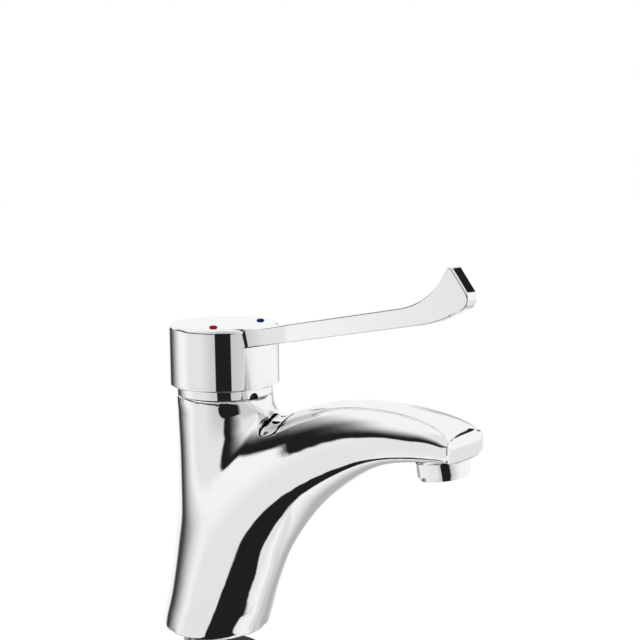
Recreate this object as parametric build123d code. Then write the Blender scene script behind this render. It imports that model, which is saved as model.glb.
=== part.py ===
from build123d import *
import os
from math import cos, radians, sin, sqrt, tan

# Elbow lever basin tap. Millimetres, +Z up, +X towards the spout.
# The origin is on the basin deck at the centre of the round base.
# Hot is on the -Y side and cold on the +Y side.

# Gaps shared by all the pieces
SLACK = 0.1
RUN_GAP = 0.3
SLIDE_GAP = 0.05
OVERRUN = 2.0
HALF = 0.5

# The ceramic cartridge sets the size of everything round it
CARTRIDGE_R = 17.5
THREAD_STEP = 2.0
NECK_WALL = 3.3
COLLAR_STEP = 0.5
CAP_OVERHANG = 2.7
BASE_SPREAD = 3.1
THREAD_R = CARTRIDGE_R + THREAD_STEP
NECK_R = THREAD_R + NECK_WALL
COLLAR_R = NECK_R - COLLAR_STEP
CAP_R = NECK_R + CAP_OVERHANG
BASE_R = NECK_R + BASE_SPREAD

# Base, neck and spout of the cast body
NECK_X = 8.4
NECK_ROOT_Z = 24.0
NECK_TOP_Z = 113.4
NECK_BLEND_R = 16.0
SPOUT_TIP_X = 140.7
BELLY_DROP = 10.1
SPOUT_BELLY_Z = NECK_TOP_Z - BELLY_DROP
TIP_HEIGHT = 10.5
TIP_HALF_WIDTH = 13.2
TIP_EDGE_R = 0.9
ARM_POINTS = 16

# The arm of the body is a bend about the point below the spout tip on the deck.
# Each section stands on a radius of that bend, from the base round to the tip.
# The shares run from 0 at the base's own value to 1 at the tip's own value.
ARM_ANGLES = (0, 4, 8, 12, 16, 20, 24, 28, 33, 42, 52, 62, 72, 82, 86, 90)
ARM_INNER_SHARES = (
    0, 0.26, 0.454, 0.605, 0.73, 0.81, 0.87, 0.95, 1.01, 1.065, 1.12, 1.1, 1.04, 1.05, 1.02, 1,
)
ARM_OUTER_SHARES = (
    0, 0.036, 0.058, 0.052, 0.025, -0.015, -0.034, 0.025, 0.152, 0.324, 0.4875, 0.612, 0.737, 0.852, 0.906, 1,
)
ARM_WIDTH_SHARES = (
    0, 0.056, 0.11, 0.145, 0.172, 0.19, 0.208, 0.24, 0.29, 0.43, 0.622, 0.795, 0.89, 0.953, 0.976, 1,
)
ARM_SEAT_SHARES = (0.5, 0.5, 0.5, 0.5, 0.5, 0.5, 0.5, 0.49, 0.47, 0.42, 0.38, 0.35, 0.33, 0.33, 0.36, 0.45)
ARM_TOP_POWERS = (2, 2, 2, 2, 2, 2, 2, 2.02, 2.05, 2.1, 2.15, 2.2, 2.3, 2.6, 3.2, 5)
ARM_BELLY_POWERS = (2, 2, 2, 2, 2, 2.02, 2.05, 2.08, 2.1, 2.2, 2.4, 2.7, 3.1, 3.4, 3.5, 3.5)

# Hollow under the base, inlets and waterways
GASKET_INSET = 3.4
GASKET_WIDTH = 2.4
GASKET_HEIGHT = 2.0
GASKET_R = BASE_R - GASKET_INSET
POCKET_INSET = 3.0
POCKET_R = GASKET_R - POCKET_INSET
POCKET_DEPTH = 28.0
INLET_R = 4.5
INLET_DEPTH = 17.0
BLOCK_SHIFT = 1.6
BLOCK_WALL = 1.2
BLOCK_ROOF = 3.0
PORT_BACK_SHARE = 0.2286
PORT_SIDE_SHARE = 0.4286
PORT_R_SHARE = 0.1714
OUTLET_FORWARD_SHARE = 0.4571
OUTLET_R_SHARE = 0.2057
OUTLET_FORWARD = CARTRIDGE_R * OUTLET_FORWARD_SHARE
OUTLET_R = CARTRIDGE_R * OUTLET_R_SHARE
OUTLET_DROP = 12.0
WATERWAY_R = 4.5
WATERWAY_BEND_SHARE = 0.44
WATERWAY_BEND_DROP = 8.3

# Cap and lever
CAP_WALL = 1.9
CAP_HEIGHT = 28.1
CAP_ROOF = 4.2
CAP_TOP_EDGE_R = 2.2
CAP_RIM_EDGE_R = 0.8
COLLAR_SHOWS = 4.2
LEVER_HALF_WIDTH = 3.5
LEVER_FLARE_R = 34.0
LEVER_RISE_ANGLE = 11.1
LEVER_RISE_STEP = 1.0
LEVER_DEPTH = 8.0
LEVER_REACH = 136.0
PADDLE_BEND_BACK = 33.0
PADDLE_HEEL_BACK = 24.0
PADDLE_TIP_BACK = 10.9
PADDLE_TIP_RISE = 18.4
PADDLE_TOE_RISE = 4.0
LEVER_TIP_R = 1.5
LEVER_TOE_R = 5.0
LEVER_EDGE_R = 0.8
MARKER_R = 1.8
MARKER_DEPTH = 0.6
MARKER_INSET = 8.0
MARKER_ORBIT_R = CAP_R - MARKER_INSET
MARKER_ANGLE = 59.0
BOSS_WALL = 3.9
BOSS_LENGTH = 17.5
GRUB_R = 2.5
GRUB_LENGTH = 6.0
GRUB_DROP = 10.4
GRUB_KEY_R = 1.25
GRUB_KEY_DEPTH = 2.5
RIB_HALF_WIDTH = 4.6
RIB_DEPTH = 7.2

# Lever stem and its motion
PIVOT_DROP = 8.6
LIFT_ANGLE = 20.0
STEM_SIDE_SHARE = 0.457
STEM_SHANK_SHARE = 0.114
STEM_BALL_SHARE = 0.143
PIN_R_SHARE = 0.0857
STEM_SIDE = CARTRIDGE_R * STEM_SIDE_SHARE
STEM_SHANK_R = CARTRIDGE_R * STEM_SHANK_SHARE
STEM_BALL_R = CARTRIDGE_R * STEM_BALL_SHARE
PIN_R = CARTRIDGE_R * PIN_R_SHARE
STEM_TOP_RISE = 29.0
STEM_NECK_DROP = 4.5
STEM_ARM = 14.0

# Ceramic cartridge
SEAT_DROP = 31.0
HOUSING_BORE_SHARE = 0.857
HOUSING_NECK_SHARE = 0.743
ROTOR_SHARE = 0.6286
DISC_SHARE = 0.811
MOVING_DISC_SHARE = 0.6
CARRIER_SHARE = 0.657
CHAMBER_SHARE = 0.4286
SLOT_SHARE = 0.891
HOUSING_BORE_R = CARTRIDGE_R * HOUSING_BORE_SHARE
HOUSING_NECK_R = CARTRIDGE_R * HOUSING_NECK_SHARE
ROTOR_R = CARTRIDGE_R * ROTOR_SHARE
DISC_R = CARTRIDGE_R * DISC_SHARE
MOVING_DISC_R = CARTRIDGE_R * MOVING_DISC_SHARE
CARRIER_R = CARTRIDGE_R * CARRIER_SHARE
CHAMBER_R = CARTRIDGE_R * CHAMBER_SHARE
ROTOR_SLOT_LENGTH = CARTRIDGE_R * SLOT_SHARE
HOUSING_SHOULDER_DROP = 5.0
HOUSING_SHOULDER_THICKNESS = 3.0
HOUSING_NECK_HEIGHT = 11.0
ROTOR_TOP_RISE = 9.0
ROTOR_FLANGE_THICKNESS = 3.2
BASE_PLATE_LIFT = 0.3
BASE_FLANGE_THICKNESS = 2.0
BASE_SPIGOT_HEIGHT = 3.0
SEAL_WIRE_R = 0.9
SEAL_GROOVE_LIP = 0.4
DISC_THICKNESS = 3.5
CHAMBER_DEPTH = 1.8
CARRIER_HEIGHT = 6.0
CARRIER_FLOOR = 1.2
BALL_GAP = 0.3
HOUSING_SEAL_INSET = 0.65
HOUSING_SEAL_R = CARTRIDGE_R - HOUSING_SEAL_INSET
HOUSING_SEAL_WIRE_R = 0.8
HOUSING_SEAL_LIFT = 16.0
STOP_RING_HEIGHT = 2.0
STOP_TAB_LENGTH = 2.2
STOP_TAB_WIDTH = 4.0

# Cartridge nut and collar
THREAD_DEPTH = 15.4
NUT_THREAD_HEIGHT = 7.0
NUT_HEX_HEIGHT = 3.7
NUT_HEX_STEP = 0.4
NUT_HEX_R = CARTRIDGE_R + NUT_HEX_STEP
COLLAR_WALL = 1.5
DOME_SPREAD = 2.0
DOME_MOUTH_STEP = 0.5
DOME_R = COLLAR_R + DOME_SPREAD
DOME_MOUTH_R = CARTRIDGE_R - DOME_MOUTH_STEP
COLLAR_SPIGOT_DEPTH = 2.0
COLLAR_SPIGOT_WALL = 1.1
COLLAR_FLANGE = 1.2
NOTCH_R = 2.4
NOTCH_ANGLE = -8.0

# Aerator under the spout tip
AERATOR_BACK = 11.4
AERATOR_MOUTH_DROP = 1.0
AERATOR_TILT = 10.0
AERATOR_THREAD_R = 9.25
AERATOR_THREAD_HEIGHT = 8.0
AERATOR_FLANGE_R = 10.5
AERATOR_FLANGE_HEIGHT = 5.2
AERATOR_LIP_R = 9.6
AERATOR_LIP_HEIGHT = 1.6
AERATOR_BORE_R = 7.9
AERATOR_FLAT_SPAN = 19.4
AERATOR_SEAL_HEIGHT = 1.8
AERATOR_SEAL_HOLE_R = 6.5
INSERT_HEIGHT = 11.0
INSERT_RECESS = 0.5
INSERT_RING = 1.2
INSERT_PLATE = 1.4
JET_R = 0.7
JET_RING_SHARES = (0, 0.36, 0.72)
JET_RING_COUNTS = (1, 6, 12)

# Fixing kit under the basin deck
DECK_THICKNESS = 20.0
STUD_BACK_SHARE = 0.4615
STUD_SIDE_SHARE = 0.5128
STUD_X = -POCKET_R * STUD_BACK_SHARE
STUD_SIDE = POCKET_R * STUD_SIDE_SHARE
STUD_R = 3.0
STUD_ENGAGEMENT = 12.0
STUD_TAIL = 62.0
CLAMP_INSET = 1.9
CLAMP_R = BASE_R - CLAMP_INSET
CLAMP_SLOT_SHARE = 0.604
CLAMP_SLOT_HALF_WIDTH = CLAMP_R * CLAMP_SLOT_SHARE
CLAMP_SLOT_START_SHARE = 0.125
CLAMP_SLOT_START_X = -CLAMP_R * CLAMP_SLOT_START_SHARE
PAD_THICKNESS = 3.0
PLATE_THICKNESS = 2.5
NUT_HEIGHT = 5.0
NUT_ACROSS_CORNERS_R = 5.77

# Levels and places worked out from the sizes above
CAP_BOTTOM_Z = NECK_TOP_Z + COLLAR_SHOWS
CAP_TOP_Z = CAP_BOTTOM_Z + CAP_HEIGHT
PIVOT_Z = CAP_BOTTOM_Z - PIVOT_DROP
SEAT_Z = PIVOT_Z - SEAT_DROP
PLATE_TOP_Z = SEAT_Z + BASE_PLATE_LIFT + BASE_FLANGE_THICKNESS + BASE_SPIGOT_HEIGHT
MOVING_DISC_Z = PLATE_TOP_Z + DISC_THICKNESS + SLIDE_GAP
CARRIER_Z = MOVING_DISC_Z + DISC_THICKNESS
SHOULDER_TOP_Z = PIVOT_Z - HOUSING_SHOULDER_DROP
SHOULDER_Z = SHOULDER_TOP_Z - HOUSING_SHOULDER_THICKNESS
HOUSING_TOP_Z = SHOULDER_TOP_Z + HOUSING_NECK_HEIGHT
ROTOR_TOP_Z = PIVOT_Z + ROTOR_TOP_RISE
GRUB_Z = CAP_TOP_Z - GRUB_DROP
DISC_TRAVEL = STEM_ARM * sin(radians(LIFT_ANGLE))
DISC_REST_X = NECK_X - DISC_TRAVEL / 2
PORT_X = NECK_X - CARTRIDGE_R * PORT_BACK_SHARE
PORT_SIDE = CARTRIDGE_R * PORT_SIDE_SHARE
PORT_R = CARTRIDGE_R * PORT_R_SHARE
PORTS = ((PORT_X, -PORT_SIDE, PORT_R), (PORT_X, PORT_SIDE, PORT_R), (NECK_X + OUTLET_FORWARD, 0, OUTLET_R))
AERATOR_X = SPOUT_TIP_X - AERATOR_BACK
AERATOR_MOUTH_Z = SPOUT_BELLY_Z - AERATOR_MOUTH_DROP
LEVER_RISE_START = CAP_R + LEVER_RISE_STEP
LEVER_SLOPE = tan(radians(LEVER_RISE_ANGLE))
LEVER_BEND_REACH = LEVER_REACH - PADDLE_BEND_BACK
LEVER_HEEL_REACH = LEVER_REACH - PADDLE_HEEL_BACK
LEVER_TIP_REACH = LEVER_REACH - PADDLE_TIP_BACK
LEVER_BEND_RISE = (LEVER_BEND_REACH - LEVER_RISE_START) * LEVER_SLOPE
LEVER_TIP_RISE = LEVER_BEND_RISE + PADDLE_TIP_RISE
LEVER_TOE_RISE = LEVER_BEND_RISE + PADDLE_TOE_RISE
STUDS = ((STUD_X, -STUD_SIDE), (STUD_X, STUD_SIDE))
BLOCK_X = PORT_X + BLOCK_SHIFT
BLOCK_R = sqrt(BLOCK_SHIFT**2 + PORT_SIDE**2) + INLET_R + BLOCK_WALL
BLOCK_TOP = POCKET_DEPTH + INLET_DEPTH + BLOCK_ROOF


def mix(start, end, share):
    return start + (end - start) * share


def rod(x, y, radius, low, high):
    disc = Cylinder(radius, high - low, align=(Align.CENTER, Align.CENTER, Align.MIN))
    return Pos(x, y, low) * disc


def ring(x, y, inner, outer, low, high):
    return rod(x, y, outer, low, high) - rod(x, y, inner, low - OVERRUN, high + OVERRUN)


def bar_between(start, end, radius):
    path = Vector(*end) - Vector(*start)
    frame = Plane(origin=start, z_dir=path)
    return frame * Cylinder(radius, path.length, align=(Align.CENTER, Align.CENTER, Align.MIN))


def hexagon(x, y, corner_r, low, high):
    outline = Pos(x, y, low) * RegularPolygon(corner_r, 6)
    return extrude(outline, high - low)


def superellipse_point(turn, upper_power, lower_power):
    across, along = cos(radians(turn)), sin(radians(turn))
    power = upper_power if along >= 0 else lower_power
    size = (abs(across) ** power + abs(along) ** power) ** (1 / power)
    return across / size, along / size


# Body casting
def arm_section(row):
    angle = radians(ARM_ANGLES[row])
    inner = mix(SPOUT_TIP_X - BASE_R, SPOUT_BELLY_Z, ARM_INNER_SHARES[row])
    outer = mix(SPOUT_TIP_X + BASE_R, SPOUT_BELLY_Z + TIP_HEIGHT, ARM_OUTER_SHARES[row])
    half_width = mix(BASE_R, TIP_HALF_WIDTH, ARM_WIDTH_SHARES[row])
    seat = mix(inner, outer, ARM_SEAT_SHARES[row])
    points = []
    for step in range(ARM_POINTS + 1):
        turn = 90 - 180 * step / ARM_POINTS
        across, along = superellipse_point(turn, ARM_TOP_POWERS[row], ARM_BELLY_POWERS[row])
        height = outer - seat if along >= 0 else seat - inner
        radius = seat + height * along
        points.append((SPOUT_TIP_X - radius * cos(angle), half_width * across, radius * sin(angle)))
    evenly = [step / ARM_POINTS for step in range(ARM_POINTS + 1)]
    sideways = ((0, half_width, 0), (0, -half_width, 0))
    side = Edge.make_spline(points, tangents=sideways, parameters=evenly)
    return Wire([side, Edge.make_line(points[-1], points[0])])


def is_neck_joint(edge):
    low, high = edge.bounding_box().min.Z, edge.bounding_box().max.Z
    middle = edge.position_at(HALF)
    off_axis = sqrt((middle.X - NECK_X) ** 2 + middle.Y**2)
    curved = edge.geom_type == GeomType.BSPLINE
    return curved and low > NECK_ROOT_Z and high < NECK_TOP_Z and abs(off_axis - NECK_R) < SLACK


def body_blank():
    half = Solid.make_loft([arm_section(row) for row in range(len(ARM_ANGLES))])
    arm = Part() + half + mirror(half, Plane.XZ)
    tip = arm.faces().sort_by(Axis.X)[-1]
    arm = fillet(tip.edges(), TIP_EDGE_R)
    neck = rod(NECK_X, 0, NECK_R, NECK_ROOT_Z, NECK_TOP_Z)
    blank = arm + neck
    return fillet([edge for edge in blank.edges() if is_neck_joint(edge)], NECK_BLEND_R)


def aerator_frame():
    tilt = radians(AERATOR_TILT)
    return Plane(
        origin=(AERATOR_X, 0, AERATOR_MOUTH_Z),
        x_dir=(cos(tilt), 0, sin(tilt)),
        z_dir=(-sin(tilt), 0, cos(tilt)),
    )


def local_ring(inner, outer, low, high):
    return aerator_frame() * ring(0, 0, inner, outer, low, high)


def local_rod(radius, low, high):
    return aerator_frame() * rod(0, 0, radius, low, high)


def waterways():
    outlet_x = NECK_X + OUTLET_FORWARD
    drop_z = SEAT_Z - OUTLET_DROP
    socket_top = AERATOR_THREAD_HEIGHT + AERATOR_SEAL_HEIGHT
    end = aerator_frame().from_local_coords(Vector(0, 0, socket_top - WATERWAY_R / 2))
    bend = (SPOUT_TIP_X * WATERWAY_BEND_SHARE, 0, SPOUT_BELLY_Z - WATERWAY_BEND_DROP)
    cuts = rod(outlet_x, 0, OUTLET_R, drop_z, SEAT_Z + OVERRUN)
    cuts += Pos(outlet_x, 0, drop_z) * Sphere(WATERWAY_R)
    cuts += bar_between((outlet_x, 0, drop_z), bend, WATERWAY_R)
    cuts += Pos(*bend) * Sphere(WATERWAY_R)
    cuts += bar_between(bend, tuple(end), WATERWAY_R)
    return cuts


def body_casting():
    body = body_blank()
    body -= rod(0, 0, POCKET_R, -OVERRUN, POCKET_DEPTH)
    groove_inner = GASKET_R - GASKET_WIDTH / 2 - SLACK
    groove_outer = GASKET_R + GASKET_WIDTH / 2 + SLACK
    body -= ring(0, 0, groove_inner, groove_outer, -OVERRUN, GASKET_HEIGHT)
    body -= rod(NECK_X, 0, CARTRIDGE_R + 2 * SLACK, SEAT_Z, NECK_TOP_Z + OVERRUN)
    body -= rod(NECK_X, 0, THREAD_R, NECK_TOP_Z - THREAD_DEPTH, NECK_TOP_Z + OVERRUN)
    body -= rod(BLOCK_X, 0, BLOCK_R + SLACK, POCKET_DEPTH - OVERRUN, BLOCK_TOP)
    for x, y, radius in PORTS[:2]:
        body -= rod(x, y, radius, POCKET_DEPTH, SEAT_Z + OVERRUN)
    body -= waterways()
    for x, y in STUDS:
        body -= rod(x, y, STUD_R + SLACK, POCKET_DEPTH - OVERRUN, POCKET_DEPTH + STUD_ENGAGEMENT)
    socket_top = AERATOR_THREAD_HEIGHT + AERATOR_SEAL_HEIGHT
    body -= local_rod(AERATOR_THREAD_R + SLACK, -OVERRUN, socket_top)
    body -= local_rod(AERATOR_FLANGE_R + SLACK, -AERATOR_FLANGE_HEIGHT, 0)
    return body


# Brass block with the two threaded inlets, let into the roof of the base pocket
def inlet_block():
    block = rod(BLOCK_X, 0, BLOCK_R, POCKET_DEPTH, BLOCK_TOP)
    for x, y, radius in PORTS[:2]:
        block -= rod(x, y, INLET_R, POCKET_DEPTH - OVERRUN, POCKET_DEPTH + INLET_DEPTH)
        block -= rod(x, y, radius, POCKET_DEPTH, BLOCK_TOP + OVERRUN)
    return block


def base_gasket():
    inner = GASKET_R - GASKET_WIDTH / 2
    return ring(0, 0, inner, inner + GASKET_WIDTH, 0, GASKET_HEIGHT)


# Collar ring with its dome under the cap
def dome_profile(radius):
    level = PIVOT_Z
    wall_r = COLLAR_R - (DOME_R - radius)
    shoulder = level + sqrt(radius**2 - wall_r**2)
    mouth = level + sqrt(radius**2 - DOME_MOUTH_R**2)
    middle_r = (wall_r + DOME_MOUTH_R) / 2
    middle = level + sqrt(radius**2 - middle_r**2)
    return (wall_r, shoulder), (middle_r, middle), (DOME_MOUTH_R, mouth)


def collar_ring():
    outer = dome_profile(DOME_R)
    inner = dome_profile(DOME_R - COLLAR_WALL)
    spigot_r = THREAD_R - SLACK
    bore_r = spigot_r - COLLAR_SPIGOT_WALL
    low = NECK_TOP_Z - COLLAR_SPIGOT_DEPTH
    flange_top = NECK_TOP_Z + COLLAR_FLANGE
    with_y = lambda point: (point[0], 0, point[1])
    edges = [
        Polyline((spigot_r, 0, NECK_TOP_Z), (COLLAR_R, 0, NECK_TOP_Z), with_y(outer[0])),
        ThreePointArc(with_y(outer[0]), with_y(outer[1]), with_y(outer[2])),
        Line(with_y(outer[2]), with_y(inner[2])),
        ThreePointArc(with_y(inner[2]), with_y(inner[1]), with_y(inner[0])),
        Polyline(
            with_y(inner[0]),
            (inner[0][0], 0, flange_top),
            (bore_r, 0, flange_top),
            (bore_r, 0, low),
            (spigot_r, 0, low),
            (spigot_r, 0, NECK_TOP_Z),
        ),
    ]
    face = make_face(edges)
    collar = Pos(NECK_X, 0, 0) * revolve(face, Axis.Z)
    turn = Pos(NECK_X, 0, 0) * Rot(0, 0, NOTCH_ANGLE)
    start = (COLLAR_R - COLLAR_WALL - SLACK, 0, NECK_TOP_Z)
    end = (COLLAR_R + OVERRUN, 0, NECK_TOP_Z)
    return collar - turn * bar_between(start, end, NOTCH_R)


def cartridge_nut():
    low = SHOULDER_TOP_Z
    thread_top = low + NUT_THREAD_HEIGHT
    nut = rod(NECK_X, 0, THREAD_R - SLACK, low, thread_top)
    nut += hexagon(NECK_X, 0, NUT_HEX_R, thread_top, thread_top + NUT_HEX_HEIGHT)
    bore = HOUSING_NECK_R + RUN_GAP
    return nut - rod(NECK_X, 0, bore, low - OVERRUN, thread_top + NUT_HEX_HEIGHT + OVERRUN)


# Ceramic cartridge
def seal_ring_r(port_r):
    return port_r + SEAL_GROOVE_LIP + SLACK + SEAL_WIRE_R


def cartridge_base():
    low = SEAT_Z + BASE_PLATE_LIFT
    flange_top = low + BASE_FLANGE_THICKNESS
    plate = rod(NECK_X, 0, CARTRIDGE_R, low, flange_top)
    plate += rod(NECK_X, 0, HOUSING_BORE_R - SLACK, flange_top, PLATE_TOP_Z)
    groove_top = SEAT_Z + 2 * SEAL_WIRE_R + SLACK
    for x, y, radius in PORTS:
        middle = seal_ring_r(radius)
        half = SEAL_WIRE_R + SLACK
        plate -= rod(x, y, radius, low - OVERRUN, PLATE_TOP_Z + OVERRUN)
        plate -= ring(x, y, middle - half, middle + half, low - OVERRUN, groove_top)
    return plate


def port_seals():
    rings = []
    for x, y, radius in PORTS:
        torus = Torus(seal_ring_r(radius), SEAL_WIRE_R)
        rings.append(Pos(x, y, SEAT_Z + SEAL_WIRE_R) * torus)
    return Compound(children=[piece.solid() for piece in rings])


def fixed_disc():
    disc = rod(NECK_X, 0, DISC_R, PLATE_TOP_Z, PLATE_TOP_Z + DISC_THICKNESS)
    for x, y, radius in PORTS:
        disc -= rod(x, y, radius, PLATE_TOP_Z - OVERRUN, PLATE_TOP_Z + DISC_THICKNESS + OVERRUN)
    return disc


def moving_disc():
    disc = rod(DISC_REST_X, 0, MOVING_DISC_R, MOVING_DISC_Z, CARRIER_Z)
    return disc - rod(DISC_REST_X, 0, CHAMBER_R, MOVING_DISC_Z - OVERRUN, MOVING_DISC_Z + CHAMBER_DEPTH)


def disc_carrier():
    top = CARRIER_Z + CARRIER_HEIGHT
    carrier = rod(DISC_REST_X, 0, CARRIER_R, CARRIER_Z, top)
    socket_r = STEM_BALL_R + BALL_GAP
    return carrier - rod(NECK_X, 0, socket_r, CARRIER_Z + CARRIER_FLOOR, top + OVERRUN)


def cartridge_housing():
    low = SEAT_Z + BASE_PLATE_LIFT + BASE_FLANGE_THICKNESS
    shell = rod(NECK_X, 0, CARTRIDGE_R, low, SHOULDER_TOP_Z)
    shell += rod(NECK_X, 0, HOUSING_NECK_R, SHOULDER_TOP_Z, HOUSING_TOP_Z)
    shell -= rod(NECK_X, 0, HOUSING_BORE_R, low - OVERRUN, SHOULDER_Z)
    shell -= rod(NECK_X, 0, ROTOR_R + RUN_GAP, SHOULDER_Z - OVERRUN, HOUSING_TOP_Z + OVERRUN)
    groove_z = SEAT_Z + HOUSING_SEAL_LIFT
    half = HOUSING_SEAL_WIRE_R + SLACK
    groove_floor = HOUSING_SEAL_R - half
    return shell - ring(NECK_X, 0, groove_floor, CARTRIDGE_R + OVERRUN, groove_z - half, groove_z + half)


def housing_seal():
    torus = Torus(HOUSING_SEAL_R, HOUSING_SEAL_WIRE_R)
    return Pos(NECK_X, 0, SEAT_Z + HOUSING_SEAL_LIFT) * torus


def stop_ring():
    inner = ROTOR_R + RUN_GAP
    low, high = HOUSING_TOP_Z, HOUSING_TOP_Z + STOP_RING_HEIGHT
    collar = ring(NECK_X, 0, inner, HOUSING_NECK_R, low, high)
    tab = Box(
        STOP_TAB_LENGTH + SLACK,
        STOP_TAB_WIDTH,
        STOP_RING_HEIGHT,
        align=(Align.MAX, Align.CENTER, Align.MIN),
    )
    return collar + Pos(NECK_X - HOUSING_NECK_R + SLACK, 0, low) * tab


def rotor():
    flange_top = SHOULDER_Z - RUN_GAP
    low = flange_top - ROTOR_FLANGE_THICKNESS
    block = rod(NECK_X, 0, HOUSING_BORE_R - RUN_GAP, low, flange_top)
    block += rod(NECK_X, 0, ROTOR_R, flange_top, ROTOR_TOP_Z)
    slot = Box(ROTOR_SLOT_LENGTH, STEM_SIDE + 2 * RUN_GAP, 4 * ROTOR_R)
    block -= Pos(NECK_X, 0, PIVOT_Z) * slot
    start = (NECK_X, -2 * ROTOR_R, PIVOT_Z)
    end = (NECK_X, 2 * ROTOR_R, PIVOT_Z)
    return block - bar_between(start, end, PIN_R + SLIDE_GAP)


def stem_pin():
    half = sqrt(ROTOR_R**2 - PIN_R**2) - SLACK
    return bar_between((NECK_X, -half, PIVOT_Z), (NECK_X, half, PIVOT_Z), PIN_R)


def lever_stem():
    low = PIVOT_Z - STEM_NECK_DROP
    length = STEM_NECK_DROP + STEM_TOP_RISE
    square = Box(STEM_SIDE, STEM_SIDE, length, align=(Align.CENTER, Align.CENTER, Align.MIN))
    stem = Pos(NECK_X, 0, low) * square
    ball_z = PIVOT_Z - STEM_ARM
    stem += rod(NECK_X, 0, STEM_SHANK_R, ball_z, low)
    stem += Pos(NECK_X, 0, ball_z) * Sphere(STEM_BALL_R)
    start = (NECK_X, -STEM_SIDE, PIVOT_Z)
    end = (NECK_X, STEM_SIDE, PIVOT_Z)
    return stem - bar_between(start, end, PIN_R + SLIDE_GAP)


# Cap and lever, one casting
def lever_outline():
    heading = (cos(radians(LEVER_RISE_ANGLE)), 0, sin(radians(LEVER_RISE_ANGLE)))
    drop = LEVER_DEPTH / cos(radians(LEVER_RISE_ANGLE))

    def top_point(reach):
        return (NECK_X + reach, 0, CAP_TOP_Z + (reach - LEVER_RISE_START) * LEVER_SLOPE)

    def low_point(reach):
        x, y, z = top_point(reach)
        return (x, y, z - drop)

    tip = (NECK_X + LEVER_TIP_REACH, 0, CAP_TOP_Z + LEVER_TIP_RISE)
    toe = (NECK_X + LEVER_REACH, 0, CAP_TOP_Z + LEVER_TOE_RISE)
    bend = top_point(LEVER_BEND_REACH)
    heel = low_point(LEVER_HEEL_REACH)
    low_root = low_point(CAP_R - CAP_WALL)
    edges = [
        Polyline((NECK_X, 0, low_root[2]), (NECK_X, 0, CAP_TOP_Z), top_point(LEVER_RISE_START), bend),
        TangentArc(bend, tip, tangent=heading),
        Line(tip, toe),
        TangentArc(heel, toe, tangent=heading),
        Polyline(heel, low_root, (NECK_X, 0, low_root[2])),
    ]
    face = make_face(edges)
    tip_corner = face.vertices().sort_by_distance(tip)[0]
    face = fillet(tip_corner, LEVER_TIP_R)
    toe_corner = face.vertices().sort_by_distance(toe)[0]
    return fillet(toe_corner, LEVER_TOE_R)


def lever_plan():
    length = LEVER_REACH + CAP_R
    bar = Rectangle(length, 2 * LEVER_HALF_WIDTH, align=(Align.MIN, Align.CENTER))
    root_r = CAP_R - CAP_WALL
    plan = Circle(root_r) + bar
    root_x = sqrt(root_r**2 - LEVER_HALF_WIDTH**2)
    for side in (-LEVER_HALF_WIDTH, LEVER_HALF_WIDTH):
        corner = plan.vertices().sort_by_distance((root_x, side, 0))[0]
        plan = fillet(corner, LEVER_FLARE_R)
    return plan


def is_lever_rim(edge):
    box = edge.bounding_box()
    flat = box.max.Y - box.min.Y < SLACK
    on_side = abs(abs(edge.center().Y) - LEVER_HALF_WIDTH) < SLACK
    return flat and on_side and box.max.X > NECK_X + CAP_R


def lever_bar():
    side = extrude(lever_outline(), CAP_R, both=True)
    top = CAP_TOP_Z + LEVER_TIP_RISE + OVERRUN
    plan = Pos(NECK_X, 0, CAP_BOTTOM_Z) * lever_plan()
    bar = side & extrude(plan, top - CAP_BOTTOM_Z)
    return fillet([edge for edge in bar.edges() if is_lever_rim(edge)], LEVER_EDGE_R)


def lever_handle():
    cap = rod(NECK_X, 0, CAP_R, CAP_BOTTOM_Z, CAP_TOP_Z)
    rims = cap.edges().filter_by(GeomType.CIRCLE).sort_by(Axis.Z)
    cap = fillet(rims[-1], CAP_TOP_EDGE_R)
    rims = cap.edges().filter_by(GeomType.CIRCLE).sort_by(Axis.Z)
    cap = fillet(rims[0], CAP_RIM_EDGE_R)
    handle = cap + lever_bar()
    roof = CAP_TOP_Z - CAP_ROOF
    handle -= rod(NECK_X, 0, CAP_R - CAP_WALL, CAP_BOTTOM_Z - OVERRUN, roof)
    boss_r = STEM_SIDE / 2 + BOSS_WALL
    handle += rod(NECK_X, 0, boss_r, roof - BOSS_LENGTH, roof + SLACK)
    rib_length = CAP_R - CAP_WALL / 2
    rib = Box(rib_length, 2 * RIB_HALF_WIDTH, RIB_DEPTH + GRUB_R, align=(Align.MAX, Align.CENTER, Align.MAX))
    handle += Pos(NECK_X, 0, roof + SLACK) * rib
    socket_side = STEM_SIDE + 2 * SLACK
    socket_z = PIVOT_Z + STEM_TOP_RISE + SLACK
    socket = Box(socket_side, socket_side, STEM_TOP_RISE, align=(Align.CENTER, Align.CENTER, Align.MAX))
    handle -= Pos(NECK_X, 0, socket_z) * socket
    hole_start = (NECK_X, 0, GRUB_Z)
    hole_end = (NECK_X - CAP_R - OVERRUN, 0, GRUB_Z)
    handle -= bar_between(hole_start, hole_end, GRUB_R + SLACK)
    for angle in (-MARKER_ANGLE, MARKER_ANGLE):
        handle -= marker_disc(angle, MARKER_R + SLACK)
    return handle


def marker_disc(angle, radius):
    x = NECK_X + MARKER_ORBIT_R * cos(radians(angle))
    y = MARKER_ORBIT_R * sin(radians(angle))
    return rod(x, y, radius, CAP_TOP_Z - MARKER_DEPTH, CAP_TOP_Z)


def grub_screw():
    start_x = NECK_X - STEM_SIDE / 2
    screw = bar_between((start_x, 0, GRUB_Z), (start_x - GRUB_LENGTH, 0, GRUB_Z), GRUB_R)
    key = RegularPolygon(GRUB_KEY_R, 6)
    key_start = Plane(origin=(start_x - GRUB_LENGTH + GRUB_KEY_DEPTH, 0, GRUB_Z), z_dir=(-1, 0, 0))
    return screw - extrude(key_start * key, GRUB_KEY_DEPTH + OVERRUN)


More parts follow.
